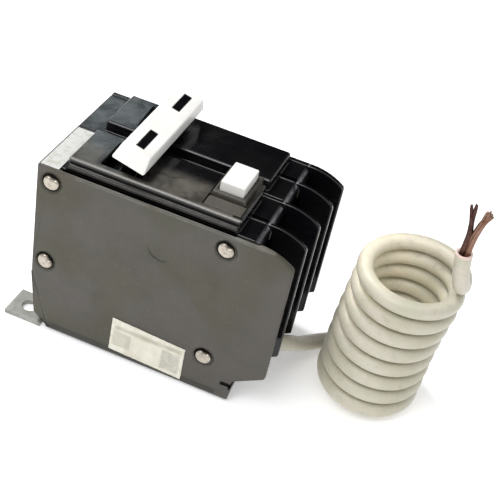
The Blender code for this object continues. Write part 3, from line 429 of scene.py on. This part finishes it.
def insulation():
    """Extruded vinyl: paler on the coil's inner side as painted light, mottled, a little grimy and pink at
    its cut end.
    """
    n = Nodes("cream_insulation")
    # Painted light: the inner side of the coil is made paler than its outer side.
    inside = n.near_coil_axis(11.5, 16.5)
    dark = n.mix(inside, (0.5, 0.475, 0.365), (0.78, 0.71, 0.53))
    light = n.mix(inside, (0.58, 0.545, 0.455), (0.84, 0.78, 0.62))
    colour = n.mix(n.ramp(n.noise(15.0, 4.0, 0.6), 0.3, 0.7), dark, light)
    green = n.times(n.ramp(n.noise(11.0, 3.0, place=n.stretched((1.0, 1.3, 0.8))), 0.5, 0.7), 0.3)
    colour = n.mix(green, colour, (0.46, 0.5, 0.36))
    pink = n.times(n.ramp(n.noise(8.0, 3.0, distortion=0.4), 0.58, 0.74), 0.35)
    colour = n.mix(pink, colour, (0.66, 0.54, 0.49))
    grime = n.ramp(n.noise(3.2, 5.0, 0.7, distortion=0.5), 0.52, 0.78, 0.0, 0.4)
    colour = n.mix(grime, colour, (0.3, 0.265, 0.18))
    colour = n.mix(n.times(n.band("Z", 64.4, 90.0, 0.5), 0.7), colour, (0.85, 0.6, 0.55))
    fine = n.noise(0.45, 3.0)
    gloss = n.ramp(n.noise(6.0, 3.0), 0.3, 0.7, 0.33, 0.5)
    return n.finish(colour, gloss, n.bump(fine, 0.02, 0.5, n.bump(n.noise(4.0), 0.12, 0.4)),
                    Subsurface_Weight=0.05, Subsurface_Scale=0.001)


def paper():
    """Blank label stock: fibres, a worn darker band under its upper edge and plain grey blocks."""
    n = Nodes("label_paper")
    base = n.mix(n.ramp(n.noise(3.0, 4.0), 0.3, 0.7), (0.62, 0.59, 0.49), (0.74, 0.72, 0.62))
    smudge = n.ramp(n.noise(5.0, 2.0, 0.5), 0.25, 0.65, 0.35, 0.75)
    upper = n.times(n.patch((31.5, 53.5), (11.5, 13.0), 0.7), smudge)
    left = n.times(n.patch((31.0, 37.0), (5.2, 11.0)), 0.4)
    middle = n.times(n.patch((38.0, 46.8), (4.6, 10.6)), 0.35)
    right = n.times(n.patch((47.4, 53.4), (3.6, 10.8)), n.ramp(n.noise(1.6, 2.0), 0.35, 0.65, 0.35, 0.55))
    colour = n.mix(n.math("MAXIMUM", upper, left), base, (0.3, 0.28, 0.21))
    colour = n.mix(middle, colour, (0.72, 0.68, 0.58))
    colour = n.mix(right, colour, (0.3, 0.3, 0.26))
    return n.finish(colour, n.ramp(n.noise(0.6), 0.3, 0.7, 0.5, 0.68), n.bump(n.noise(0.3), 0.01, 0.5))


def sticker():
    """Bright, slightly creased blank sticker, dark where the case shows along its outer edge."""
    n = Nodes("sticker_film")
    colour = n.mix(n.ramp(n.noise(2.4, 3.0), 0.45, 0.7), (0.6, 0.6, 0.575), (0.47, 0.46, 0.4))
    colour = n.mix(n.band("X", -3.0, 0.75, 0.12), colour, (0.03, 0.03, 0.026))
    return n.finish(colour, n.ramp(n.noise(1.0), 0.3, 0.7, 0.3, 0.5), n.bump(n.noise(2.0), 0.05, 0.4))


CREAM = insulation()
STRAND_DARK = metal("tarnished_copper", (0.06, 0.032, 0.028), (0.14, 0.075, 0.06), 0.45, (1.0, 1.0, 6.0),
                    tarnish=(0.05, 0.03, 0.03))
PAPER = paper()
STICKER = sticker()

SLOT_SURFACES = {
    "olive_grey_phenolic": OLIVE,
    "black_phenolic": BLACK,
    "white_nylon": WHITE,
    "plated_steel": STEEL,
    "blued_steel": DARK_STEEL,
    "tinned_copper": TIN,
    "bare_copper": COPPER,
    "contact_silver": SILVER,
    "vulcanised_fibre": FIBRE,
    "board_green": BOARD,
    "core_blue": CORE,
    "absorber_orange": DISC,
    "can_aluminium": CAN,
    "cream_insulation": CREAM,
    "label_paper": PAPER,
}
NODE_SLOT = {part["node"]: part["material_slot"] for part in frame["record"]["subparts"]}


def surface_of(node):
    """The finished material of a CAD node."""
    if node.startswith("rivet"):
        return RIVET
    return STICKER if node == "line_end_sticker" else SLOT_SURFACES[NODE_SLOT[node]]


def paint_frame():
    """Gives every CAD node its finished material."""
    for name, obj in frame["nodes"].items():
        obj.data.materials.clear()
        obj.data.materials.append(surface_of(name))


# ---------------------------------------------------------------- shapes


def new_object(name, mesh, material, smooth=True):
    """A mesh put in the scene with one material."""
    obj = bpy.data.objects.new(name, mesh)
    bpy.context.scene.collection.objects.link(obj)
    mesh.materials.clear()
    mesh.materials.append(material)
    if smooth:
        mesh.shade_smooth()
    return obj


def mesh_from(shape, name):
    """The mesh of an edited shape, which is let go."""
    mesh = bpy.data.meshes.new(name)
    shape.to_mesh(mesh)
    shape.free()
    return mesh


def belong(obj, node):
    """obj moves with a CAD node's body."""
    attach(obj, frame["nodes"][node]["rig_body"])


def stand_for(obj, node):
    """obj shows in place of a CAD node, on the same body."""
    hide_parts(node)
    belong(obj, node)


def rounding(obj, width, segments):
    """Adds a bevel, width in millimetres, and hands back its modifier."""
    bevel = obj.modifiers.new("rounding", "BEVEL")
    bevel.width = width * MM
    bevel.segments = segments
    return bevel


def refined(node, width, segments):
    """The CAD node's own shape with its edges rounded and its faces kept flat."""
    shape = bmesh.new()
    shape.from_mesh(frame["nodes"][node].data)
    bmesh.ops.remove_doubles(shape, verts=shape.verts, dist=0.002 * MM)
    bmesh.ops.dissolve_limit(shape, angle_limit=math.radians(1.0), verts=shape.verts, edges=shape.edges)
    name = f"{node}_moulding"
    obj = new_object(name, mesh_from(shape, name), surface_of(node))
    bevel = rounding(obj, width, segments)
    bevel.limit_method = "ANGLE"
    bevel.angle_limit = math.radians(30.0)
    bevel.use_clamp_overlap = False
    bevel.miter_outer = "MITER_ARC"
    bevel.harden_normals = False
    weigh = obj.modifiers.new("flat_faces", "WEIGHTED_NORMAL")
    weigh.keep_sharp = False
    weigh.weight = 90
    stand_for(obj, node)


def covers():
    """The mouldings and terminals whose edges catch the light."""
    refined("near_side_cover", 0.6, 3)
    refined("far_side_cover", 0.4, 3)
    for node in ("pole_case_a", "pole_case_b", "centre_partition"):
        refined(node, 0.4, 3)
    refined("test_button", 0.12, 2)
    refined("test_button_housing", 0.3, 2)
    refined("line_terminal_a", 0.25, 2)
    refined("line_terminal_b", 0.25, 2)


def button_spring():
    """The button's return spring, from its own copy of the CAD mesh."""
    mesh = frame["nodes"]["test_button_spring"].data.copy()
    spring = new_object("test_button_coil", mesh, surface_of("test_button_spring"))
    stand_for(spring, "test_button_spring")
    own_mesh(spring)


def block(name, x, y, z, top_inset=(0.0, 0.0), material=WHITE):
    """A block, narrower at its top by an inset on each side, in a handle's own millimetres."""
    shape = bmesh.new()
    bmesh.ops.create_cube(shape, size=1.0)
    for vert in shape.verts:
        high = vert.co.z > 0
        inset = top_inset if high else (0.0, 0.0)
        vert.co.x = (x[1] - inset[0]) if vert.co.x > 0 else (x[0] + inset[0])
        vert.co.y = (y[1] - inset[1]) if vert.co.y > 0 else (y[0] + inset[1])
        vert.co.z = z[1] if high else z[0]
        vert.co *= MM
    return new_object(name, mesh_from(shape, name), material, smooth=False)


def cut_away(obj, cutters):
    """Cuts blocks from obj, applies all its modifiers and keeps it sharp at its corners only."""
    for cutter in cutters:
        modifier = obj.modifiers.new("cut", "BOOLEAN")
        modifier.operation = "DIFFERENCE"
        modifier.solver = "EXACT"
        modifier.object = cutter
    graph = bpy.context.evaluated_depsgraph_get()
    mesh = bpy.data.meshes.new_from_object(obj.evaluated_get(graph))
    obj.modifiers.clear()
    obj.data = mesh
    mesh.shade_smooth()
    mesh.set_sharp_from_angle(angle=math.radians(38.0))
    for cutter in cutters:
        bpy.data.objects.remove(cutter)


def set_on_handle_axis(obj):
    """Moves a shape from the handles' own coordinates to its resting place, into the mesh itself."""
    lean = Matrix.Rotation(math.radians(HANDLE_LEAN), 4, "Y")
    obj.data.transform(Matrix.Translation(at(*HANDLE_AXIS)) @ lean)


def tie_bar():
    """The white bar over both handles: softly rounded outside, crisp windows, hollow below."""
    tie = block("handle_tie_bar", (-5.4, 5.4), (-22.9, 22.9), (15.2, 19.6), (0.85, 2.6))
    rounding(tie, 0.55, 4)
    cutters = [block("tie_hollow", (-3.55, 3.55), (-19.5, 19.5), (14.0, 18.2))]
    for middle in POLE_MIDDLES.values():
        cutters.append(block("tie_window", (-1.35, 1.35), (middle - 5.2, middle + 5.2), (14.0, 21.0)))
    cut_away(tie, cutters)
    set_on_handle_axis(tie)
    stand_for(tie, "handle_tie")


def handle_tips():
    """The dark handle tips that fill the tie's windows, each with a shallow step along its top."""
    for letter, middle in POLE_MIDDLES.items():
        y = (middle - 5.16, middle + 5.16)
        tip = block(f"handle_{letter}_tip", (-1.31, 1.31), y, (15.6, 19.58), material=TIP)
        rounding(tip, 0.18, 2)
        cut_away(tip, [block("tip_step", (0.2, 2.0), (middle - 4.4, middle + 4.4), (19.3, 21.0))])
        set_on_handle_axis(tip)
        belong(tip, f"handle_{letter}")


def add_skin(shape, rings, capped=True):
    """Adds a skin over rings of points to a shape."""
    loops = [[shape.verts.new(point) for point in ring] for ring in rings]
    count = len(loops[0])
    for lower, upper in zip(loops, loops[1:]):
        for spot in range(count):
            after = (spot + 1) % count
            shape.faces.new((lower[spot], lower[after], upper[after], upper[spot]))
    if capped:
        shape.faces.new(reversed(loops[0]))
        shape.faces.new(loops[-1])


def skinned(name, material, skins, capped=True):
    """An object made of one skin or several, each over its own rings."""
    shape = bmesh.new()
    for rings in skins:
        add_skin(shape, rings, capped)
    bmesh.ops.recalc_face_normals(shape, faces=shape.faces)
    return new_object(name, mesh_from(shape, name), material)


def rivet_axis(node):
    """Where a rivet's axis stands on the side faces, as x and z."""
    low, high = span(node)
    return (low.x + high.x) / 2, (low.z + high.z) / 2


def rolled_head(radius):
    """Profile of a rivet's rolled head as (radius, depth) from its middle outwards to its shank."""
    shares = ((0.05, 0.3), (0.14, 0.29), (0.27, 0.2), (0.4, 0.07), (0.52, 0.0), (0.64, 0.0), (0.76, 0.07))
    rim = ((0.87, 0.17), (0.95, 0.34), (1.0, 0.56), (0.99, 0.8), (0.94, 0.98))
    return [(share * radius, depth) for share, depth in shares + rim]


def dented_ring(x, z, radius, y, notch):
    """A ring of a rivet's skin, pushed in near the angle of its notch but plain along the shank."""
    inward = 1.0 if y < CASE_MIDDLE_Y else -1.0
    ring = []
    for angle in around(40):
        apart = math.remainder(angle - notch, math.tau) / 0.5
        dent = 0.42 * math.exp(-apart * apart) * min(radius / 2.0, 1.0)
        oval = 0.03 * (1 + math.cos(2 * (angle - notch)))
        uneven = 1.0 if radius == SHANK_RADIUS else 1.0 - (dent + oval)
        depth = y + inward * 0.9 * dent if radius > SHANK_RADIUS else y
        across = radius * uneven * math.cos(angle)
        ring.append(at(x + across, depth, z + radius * uneven * math.sin(angle)))
    return ring


def rivet_pins():
    """Tubular rivets: a rolled head with a dent in its rim at each side, and the shank between."""
    for node, notch in RIVET_NOTCHES.items():
        low, high = span(node)
        head = rolled_head((high.x - low.x) / 2)
        near = [(radius, low.y + depth) for radius, depth in head]
        far = [(radius, high.y - depth) for radius, depth in reversed(head)]
        shank = [(SHANK_RADIUS, low.y + 1.05), (SHANK_RADIUS, high.y - 1.05)]
        place = rivet_axis(node)
        rings = [dented_ring(*place, *step, math.radians(notch)) for step in near + shank + far]
        stand_for(skinned(f"{node}_rolled", RIVET, [rings]), node)


def rivet_recess_shadows():
    """Painted shadow: a dark ring round each rivet in its recess, standing for the shade there, wider below
    and to the left.
    """
    profile = ((1.45, 0.79), (1.45, 0.66), (2.2, 0.55), (2.7, 0.55), (2.85, 0.62), (2.88, 0.79))
    for node in RIVET_NOTCHES:
        x, z = rivet_axis(node)
        rings = []
        for radius, y in profile:
            shift = (radius - profile[0][0]) * 0.28
            ring = []
            for angle in around(40):
                ring.append(at(x - shift + radius * math.cos(angle), y, z - shift + radius * math.sin(angle)))
            rings.append(ring)
        belong(skinned(f"{node}_recess_shadow", SHADOW_BLACK, [rings + [rings[0]]], capped=False), "pole_case_a")


def matt_strip(name, node, x, corners):
    """A straight strip of matt black that stands in for shade, between two places along the case, from its
    (y, z) corners.
    """
    strip = skinned(name, SHADOW_BLACK, [[[at(place, *corner) for corner in corners] for place in x]])
    strip.data.shade_flat()
    belong(strip, node)


def ledge_shadow_line():
    """Painted shade: a matt black line along the joint between the near ledge and the platform, where the
    platform's face is in shade.
    """
    corners = ((2.9, 61.25), (3.45, 61.25), (3.45, 61.95))
    matt_strip("near_ledge_shadow_line", "pole_case_a", (8.7, 60.8), corners)


def foot_slot_shade():
    """Painted shade: a matt black block at the floor of the slot in the near cover's foot."""
    low, high = FOOT_SLOT_Z
    corners = ((0.35, low), (0.35, high), (1.2, high), (1.2, low))
    matt_strip("near_cover_slot_shade", "near_side_cover", FOOT_SLOT_X, corners)


def gate_mark():
    """The shallow tilted disc that the mould's gate left in the near cover."""
    middle = Vector((41.6, 0.0, 46.9))
    rings = []
    for radius, lift in ((GATE_RADIUS, 0.25), (4.38, -0.02), (4.1, -0.12), (3.2, -0.14), (0.3, -0.14)):
        ring = []
        for angle in around(48):
            down = radius * math.sin(angle)
            share = 0.5 - 0.5 * down / GATE_RADIUS
            depth = 0.3 + (lift - 0.3) * share * 1.25
            ring.append(at(middle.x + radius * math.cos(angle), depth, middle.z + down))
        rings.append(ring)
    belong(skinned("near_cover_gate_mark", OLIVE, [rings]), "near_side_cover")


# The neutral lead. Its line is the CAD wire's own, in finer steps.
WIRE_RADIUS = 2.55
WIRE_SIDES = 24
WIRE_EXIT = (19.0, 14.3)
COIL_RADII = (14.15, 16.2)
COIL_TOP_RADII = (14.55, 15.1)
COIL_TOP_SHIFT = 1.3
COIL_CHANGE_TURNS = (3.0, 8.0)
COIL_TURNS = 8.25
COIL_STEPS = 56
COIL_PITCH = 5.76
COIL_LEAN = 0.047
COIL_REST = 2.65
TAIL_END = Vector((121.5, 25.0, 65.2))
STRAND_SIDES = 7


def bezier(start, start_pull, end_pull, end, steps):
    """Points of a cubic curve, all but its last."""
    points = []
    for step in range(steps):
        t = step / steps
        u = 1 - t
        point = Vector(start) * u**3 + Vector(start_pull) * 3 * u * u * t
        points.append(point + Vector(end_pull) * 3 * u * t * t + Vector(end) * t**3)
    return points


def coil_point(turn):
    """The wire's middle after some turns of the coil, which narrows and shifts towards its top."""
    angle = math.radians(90.0) - math.tau * turn
    height = COIL_REST + COIL_PITCH * turn
    first, last = COIL_CHANGE_TURNS
    share = min(max((turn - first) / (last - first), 0.0), 1.0)
    share = share * share * (3 - 2 * share)
    radius_x = COIL_RADII[0] + (COIL_TOP_RADII[0] - COIL_RADII[0]) * share
    radius_y = COIL_RADII[1] + (COIL_TOP_RADII[1] - COIL_RADII[1]) * share
    x = COIL_CENTRE[0] + COIL_LEAN * height + COIL_TOP_SHIFT * share + radius_x * math.cos(angle)
    return Vector((x, COIL_CENTRE[1] + radius_y * math.sin(angle), height))


def wire_line():
    """The middle of the insulated wire, from inside the case over its exit and the coil to its cut end."""
    y, z = WIRE_EXIT
    lead = [Vector((64.8 + step * 0.95, y, z)) for step in range(12)]
    bend = bezier((76.2, y, z), (79.4, y, z), (79.6, 21.2, 13.3), (81.0, 24.0, 11.6), 12)
    foot = coil_point(0.0)
    down_end = Vector((foot.x - 5.0, foot.y, COIL_REST))
    join = bezier((81.0, 24.0, 11.6), (81.5, 24.9, 11.1), (81.9, 25.7, 10.5), (82.4, 26.6, 10.0), 3)
    down = bezier((82.4, 26.6, 10.0), (86.2, 36.0, 4.6), down_end - Vector((10.0, 0.4, 0)), down_end, 30)
    last = bezier(down_end, down_end + Vector((1.6, 0, 0)), foot - Vector((1.6, 0, 0)), foot, 6)
    turns = [coil_point(step / COIL_STEPS) for step in range(round(COIL_TURNS * COIL_STEPS) + 1)]
    top = turns[-1]
    forward = (turns[-1] - turns[-2]).normalized()
    rise = bezier(top, top + forward * 5.0, TAIL_END - Vector((-0.4, -0.3, 7.0)), TAIL_END, 26)
    return lead + bend + join + down + last + turns + rise[1:] + [TAIL_END]


def frames_along(points):
    """Two unit vectors across the line at each point, turning as little as they can."""
    tangents = []
    for spot in range(len(points)):
        before = points[max(spot - 1, 0)]
        after = points[min(spot + 1, len(points) - 1)]
        tangents.append((after - before).normalized())
    across = tangents[0].orthogonal().normalized()
    frames = []
    for tangent in tangents:
        across = (across - tangent * across.dot(tangent)).normalized()
        frames.append((across, tangent.cross(across)))
    return frames


def circle(middle, first, second, radius, sides):
    """A ring of points round a middle, in the plane of two unit vectors."""
    ring = []
    for angle in around(sides):
        ring.append(at(*(middle + (first * math.cos(angle) + second * math.sin(angle)) * radius)))
    return ring


def tube_rings(points, radii, sides):
    """A ring of points round each point of a line."""
    rings = []
    for point, radius, across in zip(points, radii, frames_along(points)):
        rings.append(circle(point, *across, radius, sides))
    return rings


def pigtail():
    """The insulated wire with a cut rim round its bore, and its two bundles of bare strands."""
    line = wire_line()
    radii = [WIRE_RADIUS * (1 + 0.012 * noise.noise(point * 0.12)) - 0.02 for point in line]
    radii[0] = 2.4
    end = line[-1]
    tangent = (end - line[-2]).normalized()
    rings = tube_rings(line[:-1] + [end - tangent * 0.12], radii, WIRE_SIDES)
    across = frames_along(line)[-1]
    for back, radius in ((0.02, WIRE_RADIUS - 0.25), (0.3, 1.75), (1.6, 1.6)):
        rings.append(circle(end - tangent * back, *across, radius, WIRE_SIDES))
    stand_for(skinned("pigtail_insulation", CREAM, [rings]), "pigtail_wire")
    top = span("pigtail_strands_1")[1].z - 0.15
    strand_bundle("pigtail_strands_1", "dark", STRAND_DARK, count=12, radius=0.34, top=top, side=-0.75,
                  places=((121.0, 71.6), (120.3, 75.4)), widths=(0.95, 0.6, 0.35),
                  tips=((118.4, 82.3), (120.0, top)))
    strand_bundle("pigtail_strands_2", "bright", COPPER, count=18, radius=0.37, top=top, side=0.8,
                  places=((122.5, 71.6), (123.4, 76.6)), widths=(1.1, 1.05, 0.8),
                  tips=((123.9, 82.0), (125.4, 80.6), (124.7, 81.4)))


def strand_line(stops, angle, spread, top):
    """One strand's line through stops of (x, z, width), turning a little about the bundle's middle."""
    points = []
    for (x0, z0, w0), (x1, z1, w1) in zip(stops, stops[1:]):
        for step in range(5):
            t = step / 5
            z = z0 + (z1 - z0) * t
            width = (w0 + (w1 - w0) * t) * spread
            twist = angle + (z - TAIL_END.z) * 0.07
            x = x0 + (x1 - x0) * t + width * math.cos(twist)
            points.append(Vector((x, TAIL_END.y + width * math.sin(twist), min(z, top))))
    return points


def relaxed(points):
    """The same line with its corners eased."""
    for _ in range(2):
        middle = [(a + b * 2 + c) / 4 for a, b, c in zip(points, points[1:], points[2:])]
        points = [points[0]] + middle + [points[-1]]
    return points


def strand_bundle(node, tone, material, count, radius, top, side, places, widths, tips):
    """Fine bare wires that leave the bore together, twist a little and part near their tips."""
    pick = random.Random(7 + count)
    bore_x = TAIL_END.x + side
    skins = []
    for number, angle in enumerate(around(count)):
        spread = 0.75 * math.sqrt(pick.random() * 0.7 + 0.3)
        tip_x, tip_z = tips[number % len(tips)]
        stops = (
            (bore_x, TAIL_END.z - 1.5, 0.8),
            (bore_x, TAIL_END.z + 0.6, 0.9),
            (*places[0], widths[0]),
            (*places[1], widths[1]),
            (tip_x, tip_z - pick.random() * 1.3, widths[2]),
        )
        points = relaxed(strand_line(stops, angle, spread, top))
        skins.append(tube_rings(points, [radius] * (len(points) - 1) + [radius * 0.6], STRAND_SIDES))
    stand_for(skinned(f"{node}_{tone}", material, skins), node)


def side_label():
    """The paper label on the near cover, with a slightly wavy outline and a faint ripple."""
    low_left = Vector((30.1, 0, 3.0))
    low_right = Vector((54.8, 0, 2.0))
    high_right = Vector((54.6, 0, 14.2))
    high_left = Vector((30.0, 0, 15.6))
    columns = 50
    rows = 26
    shape = bmesh.new()
    grid = []
    for row in range(rows + 1):
        line = []
        for column in range(columns + 1):
            u = column / columns
            v = row / rows
            point = low_left.lerp(low_right, u).lerp(high_left.lerp(high_right, u), v)
            inset = 0.14 + 0.1 * noise.noise(Vector((point.x * 0.9, 3.0, point.z * 0.9)))
            if column in (0, columns):
                point.x += inset * (1 - 2 * u)
            if row in (0, rows):
                point.z += inset * (1 - 2 * v)
            point.y = 0.02 * noise.noise(Vector((point.x * 0.4, 0.0, point.z * 0.5))) - 0.17
            line.append(shape.verts.new(at(*point)))
        grid.append(line)
    for lower, upper in zip(grid, grid[1:]):
        for column in range(columns):
            shape.faces.new((lower[column], lower[column + 1], upper[column + 1], upper[column]))
    name = "side_label_sheet"
    sheet = new_object(name, mesh_from(shape, name), PAPER)
    thick = sheet.modifiers.new("paper", "SOLIDIFY")
    thick.thickness = 0.1 * MM
    thick.offset = 0.0
    stand_for(sheet, "side_label")


# ---------------------------------------------------------------- stage


def floor():
    """A wide pale ground just under the object."""
    half = 4.0
    mesh = bpy.data.meshes.new("floor")
    corners = [(-half, -half, 0), (half, -half, 0), (half, half, 0), (-half, half, 0)]
    mesh.from_pydata(corners, [], [(0, 1, 2, 3)])
    n = Nodes("pale_floor")
    tone = n.mix(n.ramp(n.noise(300.0, 2.0), 0.3, 0.7), (0.92, 0.92, 0.92), (0.94, 0.94, 0.94))
    surface = n.finish(tone, 0.7, Specular_IOR_Level=0.2,
                       Emission_Color=(1.0, 1.0, 1.0, 1.0), Emission_Strength=0.3)
    obj = new_object("floor", mesh, surface, smooth=False)
    obj.location.z = CAD_BOX[0][2] - 0.02 * MM


def area_light(name, place, target, size, power, colour=(1, 1, 1), size_y=None):
    """A soft light at a place, turned towards its target."""
    light = bpy.data.lights.new(name, "AREA")
    light.energy = power
    light.color = colour
    light.size = size
    if size_y:
        light.shape = "RECTANGLE"
        light.size_y = size_y
    obj = bpy.data.objects.new(name, light)
    bpy.context.scene.collection.objects.link(obj)
    obj.location = place
    obj.rotation_euler = (Vector(target) - Vector(place)).to_track_quat("-Z", "Y").to_euler()


def sky():
    """A pale backdrop which, for light and reflections only, has a dim patch behind the object."""
    world = bpy.data.worlds.new("studio")
    bpy.context.scene.world = world
    world.use_nodes = True
    tree = world.node_tree

    def joined(operation, first, second):
        node = tree.nodes.new("ShaderNodeMath")
        node.operation = operation
        tree.links.new(first, node.inputs[0])
        tree.links.new(second, node.inputs[1])
        return node.outputs[0]

    way = tree.nodes.new("ShaderNodeTexCoord").outputs["Generated"]
    aim = tree.nodes.new("ShaderNodeVectorMath")
    aim.operation = "DOT_PRODUCT"
    aim.inputs[1].default_value = Vector((-0.12, 0.82, 0.56)).normalized()
    tree.links.new(way, aim.inputs[0])
    fade = map_range(tree, aim.outputs["Value"], (0.68, 0.9, 1.0, 0.02))
    split = tree.nodes.new("ShaderNodeSeparateXYZ")
    tree.links.new(way, split.inputs[0])
    rise = map_range(tree, split.outputs["Z"], (0.0, 1.0, 0.4, 1.1), "LINEAR")
    seen = tree.nodes.new("ShaderNodeLightPath").outputs["Is Camera Ray"]
    background = tree.nodes["Background"]
    background.inputs["Color"].default_value = (0.97, 0.98, 1.0, 1.0)
    strength = joined("MAXIMUM", joined("MULTIPLY", fade, rise), seen)
    tree.links.new(strength, background.inputs["Strength"])


def lights():
    """The sky, two broad lights, and a small card that the line-end faces mirror."""
    sky()
    middle = (0, 0, 0.03)
    area_light("key_left", (-0.6, 0.38, 1.0), middle, 0.3, 8.0)
    area_light("front", (-0.2, -0.62, 0.86), middle, 0.45, 4.0)
    area_light("line_end_card", at(-118, 360, 274), at(10, 30, 63), 0.05, 0.02, (0.85, 0.97, 1.0), 0.06)


def camera():
    """The main view, from above the near cover's load-end side."""
    data = bpy.data.cameras.new("camera")
    data.sensor_width = 36.0
    data.lens = 86.64
    data.clip_start = 0.01
    obj = bpy.data.objects.new("camera", data)
    bpy.context.scene.collection.objects.link(obj)
    right = Vector((0.9198, 0.3431, 0.1905))
    up = Vector((-0.3521, 0.5070, 0.7868))
    back = Vector((0.1733, -0.7907, 0.5871))
    pose = Matrix((right, up, back)).transposed().to_4x4()
    pose.translation = (0.08743, -0.28938, 0.25359)
    obj.matrix_world = pose
    bpy.context.scene.camera = obj
    bpy.context.scene.view_settings.view_transform = "Standard"


paint_frame()
covers()
button_spring()
tie_bar()
handle_tips()
rivet_pins()
rivet_recess_shadows()
ledge_shadow_line()
gate_mark()
foot_slot_shade()
pigtail()
side_label()
floor()
lights()
camera()
